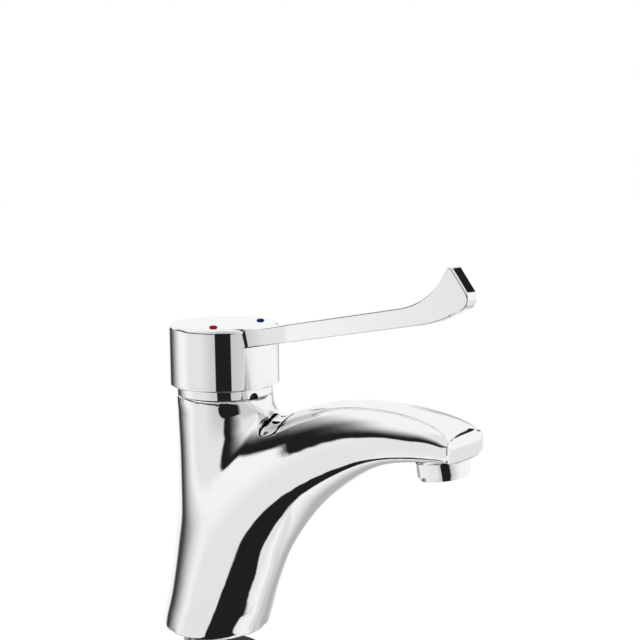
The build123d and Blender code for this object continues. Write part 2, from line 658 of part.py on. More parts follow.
# Aerator
def aerator_housing():
    flange = local_rod(AERATOR_FLANGE_R, -AERATOR_FLANGE_HEIGHT, -SLACK)
    span = 4 * AERATOR_FLANGE_R
    for side in (-1, 1):
        block = Box(span, span, AERATOR_FLANGE_HEIGHT - SLACK, align=(Align.CENTER, Align.MIN, Align.MIN))
        placed = Pos(0, AERATOR_FLAT_SPAN / 2, -AERATOR_FLANGE_HEIGHT) * block
        flange -= aerator_frame() * (placed if side > 0 else mirror(placed, Plane.XZ))
    shell = flange + local_rod(AERATOR_THREAD_R, -AERATOR_FLANGE_HEIGHT, AERATOR_THREAD_HEIGHT)
    shell += local_rod(AERATOR_LIP_R, -AERATOR_FLANGE_HEIGHT - AERATOR_LIP_HEIGHT, -AERATOR_FLANGE_HEIGHT)
    depth = AERATOR_FLANGE_HEIGHT + AERATOR_LIP_HEIGHT + OVERRUN
    return shell - local_rod(AERATOR_BORE_R, -depth, AERATOR_THREAD_HEIGHT + OVERRUN)


def aerator_insert():
    low = -AERATOR_FLANGE_HEIGHT - AERATOR_LIP_HEIGHT + INSERT_RECESS
    outer = AERATOR_BORE_R - SLACK
    core = ring(0, 0, outer - INSERT_RING, outer, low, low + INSERT_HEIGHT)
    core += rod(0, 0, outer, low, low + INSERT_PLATE)
    for share, count in zip(JET_RING_SHARES, JET_RING_COUNTS):
        for step in range(count):
            turn = radians(360 * step / count)
            x, y = outer * share * cos(turn), outer * share * sin(turn)
            core -= rod(x, y, JET_R, low - OVERRUN, low + INSERT_PLATE + OVERRUN)
    return aerator_frame() * core


def aerator_seal():
    low = AERATOR_THREAD_HEIGHT
    return local_ring(AERATOR_SEAL_HOLE_R, AERATOR_THREAD_R, low, low + AERATOR_SEAL_HEIGHT - SLACK)


# Fixing kit under the deck
def fixing_studs():
    top = POCKET_DEPTH + STUD_ENGAGEMENT - SLACK
    return Compound(children=[rod(x, y, STUD_R, -STUD_TAIL, top).solid() for x, y in STUDS])


def horseshoe(low, high):
    plate = rod(0, 0, CLAMP_R, low, high)
    slot = Box(
        CLAMP_R - CLAMP_SLOT_START_X + OVERRUN,
        2 * CLAMP_SLOT_HALF_WIDTH,
        high - low + 2 * OVERRUN,
        align=(Align.MIN, Align.CENTER, Align.MIN),
    )
    plate -= Pos(CLAMP_SLOT_START_X, 0, low - OVERRUN) * slot
    for x, y in STUDS:
        plate -= rod(x, y, STUD_R + RUN_GAP, low - OVERRUN, high + OVERRUN)
    return plate


def horseshoe_pad():
    return horseshoe(-DECK_THICKNESS - PAD_THICKNESS, -DECK_THICKNESS)


def clamp_plate():
    top = -DECK_THICKNESS - PAD_THICKNESS
    return horseshoe(top - PLATE_THICKNESS, top)


def stud_nuts():
    high = -DECK_THICKNESS - PAD_THICKNESS - PLATE_THICKNESS
    low = high - NUT_HEIGHT
    nuts = []
    for x, y in STUDS:
        nut = hexagon(x, y, NUT_ACROSS_CORNERS_R, low, high)
        nuts.append((nut - rod(x, y, STUD_R + SLACK, low - OVERRUN, high + OVERRUN)).solid())
    return Compound(children=nuts)


PIECES = {
    "body_casting": body_casting,
    "inlet_block": inlet_block,
    "base_gasket": base_gasket,
    "collar_ring": collar_ring,
    "cartridge_nut": cartridge_nut,
    "cartridge_base": cartridge_base,
    "port_seals": port_seals,
    "fixed_disc": fixed_disc,
    "moving_disc": moving_disc,
    "disc_carrier": disc_carrier,
    "cartridge_housing": cartridge_housing,
    "housing_seal": housing_seal,
    "stop_ring": stop_ring,
    "rotor": rotor,
    "stem_pin": stem_pin,
    "lever_stem": lever_stem,
    "lever_handle": lever_handle,
    "hot_marker": lambda: marker_disc(-MARKER_ANGLE, MARKER_R),
    "cold_marker": lambda: marker_disc(MARKER_ANGLE, MARKER_R),
    "grub_screw": grub_screw,
    "aerator_housing": aerator_housing,
    "aerator_insert": aerator_insert,
    "aerator_seal": aerator_seal,
    "fixing_studs": fixing_studs,
    "horseshoe_pad": horseshoe_pad,
    "clamp_plate": clamp_plate,
    "stud_nuts": stud_nuts,
}

os.makedirs("parts", exist_ok=True)
for name, make in PIECES.items():
    shape = make()
    export_step(shape, f"parts/{name}.step")
    print(name, "volume", round(shape.volume, 1))
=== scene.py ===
"""Elbow lever basin tap: finishes, refined pieces, studio light and camera."""

import logging
import math
from dataclasses import dataclass, field
from enum import Enum
from typing import Any

import bmesh
import bpy
from mathutils import Matrix, Vector


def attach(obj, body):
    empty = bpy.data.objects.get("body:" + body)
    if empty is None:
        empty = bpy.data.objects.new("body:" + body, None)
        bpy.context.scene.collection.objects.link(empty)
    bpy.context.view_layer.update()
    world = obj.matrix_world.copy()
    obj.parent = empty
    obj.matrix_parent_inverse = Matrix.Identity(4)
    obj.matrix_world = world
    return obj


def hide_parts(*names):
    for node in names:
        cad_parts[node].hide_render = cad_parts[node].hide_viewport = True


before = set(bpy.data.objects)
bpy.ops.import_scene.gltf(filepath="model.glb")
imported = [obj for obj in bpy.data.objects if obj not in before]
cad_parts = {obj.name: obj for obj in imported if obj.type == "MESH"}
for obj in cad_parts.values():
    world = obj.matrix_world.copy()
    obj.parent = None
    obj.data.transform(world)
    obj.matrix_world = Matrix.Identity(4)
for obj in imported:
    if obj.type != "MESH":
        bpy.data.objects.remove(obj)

LOG = logging.getLogger("tap")
MM = 0.001
WELD = 0.002 * MM
Span = tuple[float, float]


class Sock:
    """A shader output that can be used in Python expressions."""

    def __init__(self, shader: "Shader", output: bpy.types.NodeSocket) -> None:
        """Keep the output and the shader that it belongs to."""
        self.shader = shader
        self.output = output

    def _math(self, operation: str, *values: Any) -> "Sock":
        """One Math node on these values."""
        return self.shader.add("ShaderNodeMath", {"operation": operation}, dict(enumerate(values)))

    def __add__(self, other: Any) -> "Sock":
        """Sum of the two."""
        return self._math("ADD", self, other)

    def __radd__(self, other: Any) -> "Sock":
        """Sum of the two."""
        return self._math("ADD", other, self)

    def __sub__(self, other: Any) -> "Sock":
        """This less the other."""
        return self._math("SUBTRACT", self, other)

    def __rsub__(self, other: Any) -> "Sock":
        """The other less this."""
        return self._math("SUBTRACT", other, self)

    def __mul__(self, other: Any) -> "Sock":
        """Product of the two."""
        return self._math("MULTIPLY", self, other)

    def __rmul__(self, other: Any) -> "Sock":
        """Product of the two."""
        return self._math("MULTIPLY", other, self)

    def __truediv__(self, other: Any) -> "Sock":
        """This divided by the other."""
        return self._math("DIVIDE", self, other)

    def larger(self, other: Any) -> "Sock":
        """The larger of the two."""
        return self._math("MAXIMUM", self, other)

    def ease(self, low: float, high: float) -> "Sock":
        """A smooth step from 0 at low to 1 at high.

        Args:
            low: The value where the step starts.
            high: The value where it ends.

        Returns:
            The eased value.
        """
        settings = {"interpolation_type": "SMOOTHSTEP"}
        values = {"Value": self, "From Min": low, "From Max": high}
        return self.shader.add("ShaderNodeMapRange", settings, values, "Result")

    def between(self, low: float, high: float, soft: float) -> "Sock":
        """1 between low and high, falling to 0 over soft on each side."""
        return self.ease(low - soft, low + soft) * (1 - self.ease(high - soft, high + soft))


class Shader:
    """The nodes of one material or world, made by one method."""

    def __init__(self, owner: Any) -> None:
        """Clear the owner's nodes and keep its tree.

        Args:
            owner: The material or world that the nodes belong to.
        """
        owner.use_nodes = True
        self.tree = owner.node_tree
        self.tree.nodes.clear()

    def add(
        self,
        kind: str,
        settings: dict[str, Any] | None = None,
        values: dict[Any, Any] | None = None,
        out: Any = 0,
    ) -> Sock:
        """Make a node, set it, then fill its sockets.

        Args:
            kind: The node's type name.
            settings: Its own settings, set first.
            values: A number, colour or Sock for each socket, by name or index.
            out: The output that is wanted, by name or index.

        Returns:
            The wanted output.
        """
        node = self.tree.nodes.new(kind)
        for name, value in (settings or {}).items():
            if name == "stops":
                self._set_ramp(node, value)
            else:
                setattr(node, name, value)
        for key, value in (values or {}).items():
            if isinstance(value, Sock):
                self.tree.links.new(value.output, node.inputs[key])
            else:
                node.inputs[key].default_value = value
        return Sock(self, node.outputs[out] if len(node.outputs) else None)

    @staticmethod
    def _set_ramp(node: bpy.types.Node, stops: list[tuple[float, tuple[float, ...]]]) -> None:
        """Give a colour ramp its stops."""
        elements = node.color_ramp.elements
        while len(elements) < len(stops):
            elements.new(1.0)
        for element, (place, colour) in zip(elements, stops):
            element.position = place
            element.color = colour

    def place(self) -> Sock:
        """Object coordinates, in metres."""
        return self.add("ShaderNodeTexCoord", out="Object")

    def stretch(self, vector: Sock, scale: tuple[float, float, float]) -> Sock:
        """The vector scaled by axis."""
        return self.add("ShaderNodeMapping", values={"Vector": vector, "Scale": scale})

    def noise(self, vector: Sock, scale: float, detail: float = 3.0) -> Sock:
        """Noise from 0 to 1 at this scale."""
        values = {"Vector": vector, "Scale": scale, "Detail": detail}
        return self.add("ShaderNodeTexNoise", values=values, out="Fac")

    def blend(self, share: Any, first: Any, second: Any) -> Sock:
        """A colour mixed from the first to the second."""
        values = {"Factor": share, 6: first, 7: second}
        return self.add("ShaderNodeMix", {"data_type": "RGBA"}, values, 2)

    def bump(self, height: Sock, strength: float, distance: float) -> Sock:
        """A normal shaped by this height."""
        values = {"Strength": strength, "Distance": distance, "Height": height}
        return self.add("ShaderNodeBump", values=values)

    def surface(self, values: dict[str, Any]) -> None:
        """Finish the material with one Principled shader."""
        shader = self.add("ShaderNodeBsdfPrincipled", values=values)
        self.add("ShaderNodeOutputMaterial", values={"Surface": shader})


Colour = tuple[float, float, float, float]


def shade(red: float, green: float, blue: float) -> Colour:
    """An opaque colour."""
    return (red, green, blue, 1.0)


@dataclass(frozen=True)
class PolishedChrome:
    """Bright chrome plate over polished brass."""

    name: str = "polished_chrome"
    tint: Colour = shade(0.93, 0.935, 0.94)
    clouded: Colour = shade(0.9, 0.905, 0.91)
    haze: float = 0.025
    wiping_scale: float = 220.0
    wiping_depth: float = 0.012
    wiping_stretch: tuple[float, float, float] = (1.0, 1.0, 0.25)
    cloud_scale: float = 30.0
    cloud_depth: float = 0.015
    cloud_share: float = 0.5

    def make(self) -> bpy.types.Material:
        """The plate, with faint wiping marks and haze.

        Returns:
            A new material.
        """
        material = bpy.data.materials.new(self.name)
        sh = Shader(material)
        place = sh.place()
        wiping = sh.noise(sh.stretch(place, self.wiping_stretch), self.wiping_scale, 4.0)
        clouds = sh.noise(place, self.cloud_scale, 2.0)
        rough = self.haze + wiping * self.wiping_depth + clouds.ease(0.5, 0.75) * self.cloud_depth
        colour = sh.blend(clouds.ease(0.4, 0.8) * self.cloud_share, self.tint, self.clouded)
        sh.surface({"Base Color": colour, "Metallic": 1.0, "Roughness": rough})
        return material


@dataclass(frozen=True)
class HollowPlate(PolishedChrome):
    """Chrome plate on the outside of a domed ring, and painted shade, a dull dark colour, on the inside."""

    name: str = "collar_plate"
    axis_x: float = 8.4 * MM
    dome_z: float = 109.0 * MM
    wall_r: float = 22.3 * MM
    dome_r: float = 24.3 * MM
    skin: float = 0.25 * MM
    # painted shade: the colour that stands in for the shadow inside the closed cavity
    inside: Colour = shade(0.03, 0.03, 0.032)
    inside_rough: float = 0.5

    def make(self) -> bpy.types.Material:
        """The plate outside, and painted shade, a dull dark face, behind the wall and under the dome.

        Returns:
            A new material.
        """
        material = bpy.data.materials.new(self.name)
        sh = Shader(material)
        place = sh.place()
        middle = (self.axis_x, 0.0, self.dome_z)
        offset = sh.add("ShaderNodeVectorMath", {"operation": "SUBTRACT"}, {0: place, 1: middle})
        length = {"operation": "LENGTH"}
        from_dome = sh.add("ShaderNodeVectorMath", length, {0: offset}, "Value")
        from_axis = sh.add("ShaderNodeVectorMath", length, {0: sh.stretch(offset, (1.0, 1.0, 0.0))}, "Value")
        # painted shade: the cavity behind the wall and under the dome is coloured dark where its shadow
        # falls
        behind_wall = 1 - from_axis.ease(self.wall_r - 2 * self.skin, self.wall_r - self.skin)
        under_dome = 1 - from_dome.ease(self.dome_r - 2 * self.skin, self.dome_r - self.skin)
        painted_shade = behind_wall * under_dome
        wiping = sh.noise(sh.stretch(place, self.wiping_stretch), self.wiping_scale, 4.0)
        colour = sh.blend(painted_shade, self.tint, self.inside)
        rough = self.haze + wiping * self.wiping_depth + painted_shade * self.inside_rough
        sh.surface({"Base Color": colour, "Metallic": 1 - painted_shade, "Roughness": rough})
        return material


@dataclass(frozen=True)
class TurnedMetal:
    """Bare machined or plated metal with fine tool marks."""

    name: str
    tint: Colour
    dark: Colour
    rough: float = 0.28
    mark_scale: float = 260.0
    mark_height: float = 0.05 * MM
    mark_strength: float = 0.25
    mark_stretch: tuple[float, float, float] = (1.0, 1.0, 14.0)
    stain_scale: float = 140.0

    def make(self) -> bpy.types.Material:
        """Metal with tool marks round it and faint stains.

        Returns:
            A new material.
        """
        material = bpy.data.materials.new(self.name)
        sh = Shader(material)
        place = sh.place()
        marks = sh.noise(sh.stretch(place, self.mark_stretch), self.mark_scale, 2.0)
        stains = sh.noise(place, self.stain_scale, 5.0)
        colour = sh.blend(stains.ease(0.45, 0.75), self.tint, self.dark)
        normal = sh.bump(marks, self.mark_strength, self.mark_height)
        rough = self.rough + marks * 0.1 + stains * 0.08
        sh.surface({"Base Color": colour, "Metallic": 1.0, "Roughness": rough, "Normal": normal})
        return material


@dataclass(frozen=True)
class MouldedPlastic:
    """Moulded plastic with a fine skin."""

    name: str
    tint: Colour
    dark: Colour
    rough: float = 0.4
    grain_scale: float = 1800.0
    grain_height: float = 0.04 * MM
    grain_strength: float = 0.12
    cloud_scale: float = 90.0

    def make(self) -> bpy.types.Material:
        """Plastic with a fine grain and a faint cloudiness.

        Returns:
            A new material.
        """
        material = bpy.data.materials.new(self.name)
        sh = Shader(material)
        place = sh.place()
        grain = sh.noise(place, self.grain_scale, 3.0)
        clouds = sh.noise(place, self.cloud_scale, 2.0)
        colour = sh.blend(clouds.ease(0.35, 0.7), self.tint, self.dark)
        normal = sh.bump(grain, self.grain_strength, self.grain_height)
        sh.surface({"Base Color": colour, "Roughness": self.rough + grain * 0.12, "Normal": normal})
        return material


@dataclass(frozen=True)
class SealRubber:
    """Black moulded rubber."""

    name: str = "seal_rubber"
    tint: Colour = shade(0.018, 0.018, 0.02)
    dust: Colour = shade(0.06, 0.06, 0.062)
    rough: float = 0.62
    bloom_scale: float = 300.0
    bloom_depth: float = 0.2
    grain_scale: float = 2200.0
    grain_height: float = 0.05 * MM
    grain_strength: float = 0.2

    def make(self) -> bpy.types.Material:
        """Rubber with a matt bloom.

        Returns:
            A new material.
        """
        material = bpy.data.materials.new(self.name)
        sh = Shader(material)
        place = sh.place()
        bloom = sh.noise(place, self.bloom_scale, 5.0)
        colour = sh.blend(bloom.ease(0.5, 0.8), self.tint, self.dust)
        normal = sh.bump(sh.noise(place, self.grain_scale), self.grain_strength, self.grain_height)
        rough = self.rough + bloom * self.bloom_depth
        sh.surface({"Base Color": colour, "Roughness": rough, "Normal": normal})
        return material


@dataclass(frozen=True)
class InlaidEnamel:
    """A small gloss mark let into the cap."""

    name: str
    tint: Colour
    dark: Colour

    def make(self) -> bpy.types.Material:
        """Gloss colour that pools darker in places.

        Returns:
            A new material.
        """
        material = bpy.data.materials.new(self.name)
        sh = Shader(material)
        pool = sh.noise(sh.place(), 900.0, 2.0)
        colour = sh.blend(pool.ease(0.35, 0.7), self.tint, self.dark)
        rough = 0.3 + pool * 0.2
        sh.surface({"Base Color": colour, "Roughness": rough, "Specular IOR Level": 0.05})
        return material


class Finish(Enum):
    """The finishes that the tap's pieces are given."""

    CHROME = PolishedChrome()
    COLLAR_CHROME = HollowPlate()
    BRASS = TurnedMetal("turned_brass", shade(0.78, 0.6, 0.32), shade(0.55, 0.4, 0.2))
    ZINC = TurnedMetal("zinc_plated_steel", shade(0.72, 0.73, 0.75), shade(0.5, 0.51, 0.53), 0.32)
    CERAMIC = MouldedPlastic("lapped_ceramic", shade(0.92, 0.91, 0.87), shade(0.86, 0.85, 0.8), 0.12)
    WHITE_PLASTIC = MouldedPlastic("natural_acetal", shade(0.84, 0.84, 0.81), shade(0.76, 0.76, 0.73))
    DARK_PLASTIC = MouldedPlastic("dark_acetal", shade(0.05, 0.055, 0.06), shade(0.03, 0.032, 0.036))
    RED_PLASTIC = MouldedPlastic("red_stop_ring", shade(0.55, 0.04, 0.03), shade(0.42, 0.03, 0.02))
    JET_PLASTIC = MouldedPlastic("grey_jet_plastic", shade(0.62, 0.65, 0.67), shade(0.5, 0.53, 0.55))
    RUBBER = SealRubber()
    RED_MARK = InlaidEnamel("hot_mark_red", shade(0.5, 0.012, 0.008), shade(0.32, 0.008, 0.006))
    BLUE_MARK = InlaidEnamel("cold_mark_blue", shade(0.006, 0.05, 0.19), shade(0.004, 0.03, 0.12))

    def material(self) -> bpy.types.Material:
        """The finish's material, made once."""
        found = bpy.data.materials.get(self.value.name)
        return found or self.value.make()


PLAIN_NODES = {
    "base_gasket": Finish.RUBBER,
    "inlet_block": Finish.BRASS,
    "cartridge_nut": Finish.BRASS,
    "cartridge_base": Finish.WHITE_PLASTIC,
    "port_seals": Finish.RUBBER,
    "fixed_disc": Finish.CERAMIC,
    "moving_disc": Finish.CERAMIC,
    "disc_carrier": Finish.DARK_PLASTIC,
    "cartridge_housing": Finish.WHITE_PLASTIC,
    "housing_seal": Finish.RUBBER,
    "stop_ring": Finish.RED_PLASTIC,
    "rotor": Finish.DARK_PLASTIC,
    "stem_pin": Finish.ZINC,
    "lever_stem": Finish.BRASS,
    "grub_screw": Finish.ZINC,
    "aerator_insert": Finish.JET_PLASTIC,
    "aerator_seal": Finish.RUBBER,
    "horseshoe_pad": Finish.RUBBER,
    "clamp_plate": Finish.ZINC,
    "stud_nuts": Finish.BRASS,
}


def paint(piece: bpy.types.Object, finish: Finish) -> None:
    """Give a piece one finish all over.

    Args:
        piece: The object to paint.
        finish: The finish that it gets.
    """
    piece.data.materials.clear()
    piece.data.materials.append(finish.material())


@dataclass
class SmoothedCasting:
    """A CAD node's own shape with its facets joined and shaded as one skin."""

    node: str
    body: str
    finish: Finish
    slot: str
    weld: float = 0.004 * MM
    sharp_angle: float = math.radians(32)

    def mesh(self) -> bpy.types.Mesh:
        """A welded copy of the node's mesh, with its real edges kept sharp.

        Returns:
            A new mesh.
        """
        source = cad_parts[self.node].data
        form = bmesh.new()
        form.from_mesh(source)
        bmesh.ops.remove_doubles(form, verts=form.verts, dist=self.weld)
        bmesh.ops.dissolve_degenerate(form, edges=form.edges, dist=self.weld)
        for face in form.faces:
            face.smooth = True
        for edge in form.edges:
            edge.smooth = len(edge.link_faces) == 2 and edge.calc_face_angle(0.0) < self.sharp_angle
        made = bpy.data.meshes.new(self.node + "_skin")
        form.to_mesh(made)
        form.free()
        return made

    def build(self) -> bpy.types.Object:
        """The finished piece, riding on its body in place of the node.

        Returns:
            The piece, in the scene.
        """
        piece = bpy.data.objects.new(self.node + "_skin", self.mesh())
        bpy.context.scene.collection.objects.link(piece)
        paint(piece, self.finish)
        weighted = piece.modifiers.new("even_normals", "WEIGHTED_NORMAL")
        weighted.keep_sharp = True
        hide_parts(self.node)
        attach(piece, self.body)
        return piece


@dataclass
class DomedMark:
    """The hot or cold mark, a small button with a rounded top let into the cap."""

    node: str
    finish: Finish
    body: str = "handle"
    rise: float = 0.9 * MM
    round_over: float = 0.55
    rings: int = 8
    steps: int = 40

    def mesh(self) -> bpy.types.Mesh:
        """A disc of the node's own size with a domed top, turned about its middle.

        Returns:
            A new mesh.
        """
        corners = [Vector(corner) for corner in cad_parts[self.node].bound_box]
        low, high = corners[0], corners[6]
        middle = (low + high) / 2
        radius = (high.x - low.x) / 2
        side = high.z - low.z
        form = bmesh.new()
        profile = [(0.0, 0.0), (radius, 0.0), (radius, side)]
        for step in range(1, self.rings + 1):
            lean = math.pi / 2 * step / self.rings
            profile.append((radius * math.cos(lean) ** self.round_over, side + self.rise * math.sin(lean)))
        points = [form.verts.new((middle.x + reach, middle.y, low.z + level)) for reach, level in profile]
        lines = [form.edges.new(pair) for pair in zip(points, points[1:])]
        axis = {"cent": middle, "axis": (0, 0, 1), "angle": math.tau, "steps": self.steps}
        bmesh.ops.spin(form, geom=points + lines, use_merge=True, **axis)
        bmesh.ops.remove_doubles(form, verts=form.verts, dist=WELD)
        bmesh.ops.recalc_face_normals(form, faces=form.faces)
        for face in form.faces:
            face.smooth = True
        made = bpy.data.meshes.new(self.node + "_button")
        form.to_mesh(made)
        form.free()
        return made

    def build(self) -> bpy.types.Object:
        """The finished mark, riding on the handle in place of the node.

        Returns:
            The piece, in the scene.
        """
        piece = bpy.data.objects.new(self.node + "_button", self.mesh())
        bpy.context.scene.collection.objects.link(piece)
        paint(piece, self.finish)
        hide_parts(self.node)
        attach(piece, self.body)
        return piece


@dataclass
class ThreadedStuds:
    """The two fixing studs, threaded but for a short bare stretch at each end."""

    node: str = "fixing_studs"
    body: str = "body"
    pitch: float = 1.0 * MM
    depth: float = 0.55 * MM
    crest_share: float = 0.09
    flank_share: float = 0.47
    sink_share: float = 1.05
    end_turns: float = 1.5
    sharp_angle: float = math.radians(35)
    chamfer: float = 0.6 * MM
    steps: int = 20
    coil_turns: int = 14

    def core(self, form: bmesh.types.BMesh, foot: Vector, length: float, radius: float) -> None:
        """Turn the stud's core with a chamfer at each end.

        Args:
            form: The mesh that gets the core.
            foot: The middle of the stud's low end.
            length: The stud's length.
            radius: The radius at the root of the thread.
        """
        small = radius - self.chamfer
        profile = [(0.0, 0.0), (small, 0.0), (radius, self.chamfer)]
        profile += [(radius, length - self.chamfer), (small, length), (0.0, length)]
        points = [form.verts.new(foot + Vector((reach, 0.0, level))) for reach, level in profile]
        lines = [form.edges.new(pair) for pair in zip(points, points[1:])]
        axis = {"cent": foot, "axis": (0, 0, 1), "angle": math.tau, "steps": self.steps}
        bmesh.ops.spin(form, geom=points + lines, use_merge=True, **axis)

    def coil(self, radius: float) -> bpy.types.Mesh:
        """Wind a short length of the thread's ridge round the origin.

        Args:
            radius: The radius at the crest.

        Returns:
            A mesh whose end meets the start of the next coil.
        """
        root = radius - self.depth * self.sink_share
        flank, crest = self.pitch * self.flank_share, self.pitch * self.crest_share
        profile = [(root, -flank), (radius, -crest), (radius, crest), (root, flank)]
        form = bmesh.new()
        points = [form.verts.new((reach, 0.0, level)) for reach, level in profile]
        lines = [form.edges.new(pair) for pair in zip(points, points[1:])]
        rise = (0.0, 0.0, self.pitch / self.steps)
        turns = {"angle": math.tau * self.coil_turns, "steps": self.steps * self.coil_turns}
        bmesh.ops.spin(form, geom=points + lines, dvec=rise, cent=(0, 0, 0), axis=(0, 0, 1), **turns)
        made = bpy.data.meshes.new("thread_coil")
        form.to_mesh(made)
        form.free()
        return made

    def thread(self, form: bmesh.types.BMesh, foot: Vector, length: float, coil: bpy.types.Mesh) -> None:
        """Stack coils end to end round the core.

        Args:
            form: The mesh that gets the ridge.
            foot: The middle of the stud's low end.
            length: The stud's length.
            coil: One short length of the ridge.
        """
        coil_height = self.coil_turns * self.pitch
        bare_end = self.end_turns * self.pitch
        start = foot + Vector((0.0, 0.0, bare_end))
        for turn in range(int((length - 2 * bare_end) / coil_height)):
            known = len(form.verts)
            form.from_mesh(coil)
            form.verts.ensure_lookup_table()
            place = start + Vector((0.0, 0.0, turn * coil_height))
            bmesh.ops.translate(form, verts=form.verts[known:], vec=place)

    def build(self) -> bpy.types.Object:
        """Both studs as one piece, in place of the node.

        Returns:
            The piece, in the scene.
        """
        corners = [Vector(corner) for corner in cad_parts[self.node].bound_box]
        low, high = corners[0], corners[6]
        radius = (high.x - low.x) / 2
        form = bmesh.new()
        coil = self.coil(radius)
        for side in (low.y + radius, high.y - radius):
            foot = Vector((low.x + radius, side, low.z))
            self.core(form, foot, high.z - low.z, radius - self.depth)
            self.thread(form, foot, high.z - low.z, coil)
        bmesh.ops.remove_doubles(form, verts=form.verts, dist=WELD)
        bmesh.ops.recalc_face_normals(form, faces=form.faces)
        for edge in form.edges:
            edge.smooth = len(edge.link_faces) == 2 and edge.calc_face_angle(0.0) < self.sharp_angle
        for face in form.faces:
            face.smooth = True
        made = bpy.data.meshes.new("threaded_studs")
        form.to_mesh(made)
        form.free()
        piece = bpy.data.objects.new("threaded_studs", made)
        bpy.context.scene.collection.objects.link(piece)
        paint(piece, Finish.ZINC)
        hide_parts(self.node)
        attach(piece, self.body)
        return piece


@dataclass
class Shoulder:
    """The swell where the neck runs over into the arm, as nested rounds that are eased in turn."""

    centre: tuple[float, float, float] = (18.0 * MM, 0.0, 70.0 * MM)
    reach: tuple[float, float, float] = (56.0 * MM, 50.0 * MM, 60.0 * MM)
    top: float = 113.0 * MM
    neck_fade: float = 0.6
    rounds: int = 30
    step: float = 0.014
    passes: int = 5

    def grade(self, place: Vector) -> float:
        """Tell the share of the smallest round that still holds a place.

        Args:
            place: A point of the casting.

        Returns:
            A share from 0 at the centre to 1 at the full round, larger outside it and at the neck's top.
        """
        offsets = ((place[axis] - self.centre[axis]) / self.reach[axis] for axis in range(3))
        spread = math.sqrt(sum(offset * offset for offset in offsets))
        return max(spread, 1.0 - (self.top - place.z) / (self.reach[2] * self.neck_fade))


@dataclass
class FlowingCasting(SmoothedCasting):
    """The cast body as one even skin, without the seams between its CAD faces."""

    grain: float = 0.86 * MM
    calm: int = 34
    rim_calm: int = 3
    neck_rim: tuple[float, float] = (112.2 * MM, 114.6 * MM)
    base_rim: float = 1.4 * MM
    tip_start: float = 118.0 * MM
    crisp_share: float = 0.8
    seam_share: float = 2.4
    shoulder: Shoulder = field(default_factory=Shoulder)

    def even_skin(self, source: bpy.types.Mesh) -> bpy.types.Mesh:
        """The source as a closed skin of even squares.

        Args:
            source: The welded mesh of the node.

        Returns:
            A new mesh with square faces of the grain's size.
        """
        holder = bpy.data.objects.new("casting_blank", source)
        bpy.context.scene.collection.objects.link(holder)
        remesh = holder.modifiers.new("even_grain", "REMESH")
        remesh.mode = "VOXEL"
        remesh.voxel_size = self.grain
        graph = bpy.context.evaluated_depsgraph_get()
        made = bpy.data.meshes.new_from_object(holder.evaluated_get(graph))
        bpy.data.objects.remove(holder)
        return made

    def is_rim(self, vertex: bmesh.types.BMVert, crisp: set[int]) -> bool:
        """Tell whether a point lies on an edge that stays crisp.

        Args:
            vertex: A point of the skin.
            crisp: The numbers of the points on sharp edges.

        Returns:
            True at the neck's rim, at the foot and on the outline of the spout's end.
        """
        at_neck = self.neck_rim[0] < vertex.co.z < self.neck_rim[1] and vertex.co.x < self.tip_start / 3
        at_tip = vertex.co.x > self.tip_start and vertex.index in crisp
        return at_neck or at_tip or vertex.co.z < self.base_rim

    def mesh(self) -> bpy.types.Mesh:
        """The even skin, calmed all over and eased round the shoulder.

        Returns:
            A new mesh.
        """
        made = self.even_skin(super().mesh())
        form = bmesh.new()
        form.from_mesh(made)
        every = {"factor": 0.5, "use_axis_x": True, "use_axis_y": True, "use_axis_z": True}
        bmesh.ops.smooth_vert(form, verts=form.verts, **every)
        crisp = {
            vertex.index
            for edge in form.edges
            if edge.calc_face_angle(0.0) > self.sharp_angle * self.crisp_share
            for vertex in edge.verts
        }
        plain = [vertex for vertex in form.verts if not self.is_rim(vertex, crisp)]
        for step in range(self.calm):
            bmesh.ops.smooth_vert(form, verts=form.verts if step < self.rim_calm else plain, **every)
        graded = [(self.shoulder.grade(vertex.co), vertex) for vertex in form.verts]
        for turn in range(self.shoulder.rounds):
            share = 1.0 - turn * self.shoulder.step
            inside = [vertex for grade, vertex in graded if grade < share]
            for _ in range(self.shoulder.passes):
                bmesh.ops.smooth_vert(form, verts=inside, **every)
        for face in form.faces:
            face.smooth = True
        for edge in form.edges:
            edge.smooth = edge.calc_face_angle(0.0) < self.sharp_angle * self.seam_share
        form.to_mesh(made)
        form.free()
        made.name = self.node + "_skin"
        return made


@dataclass(frozen=True)
class Window:
    """A patch of the room between two turns and two lifts, in degrees, with soft sides."""

    turns: Span
    turn_soft: float
    lifts: Span
    lift_soft: float

    def share(self, turn: Sock, lift: Sock) -> Sock:
        """1 inside the patch and 0 outside it."""
        return turn.between(*self.turns, self.turn_soft) * lift.between(*self.lifts, self.lift_soft)


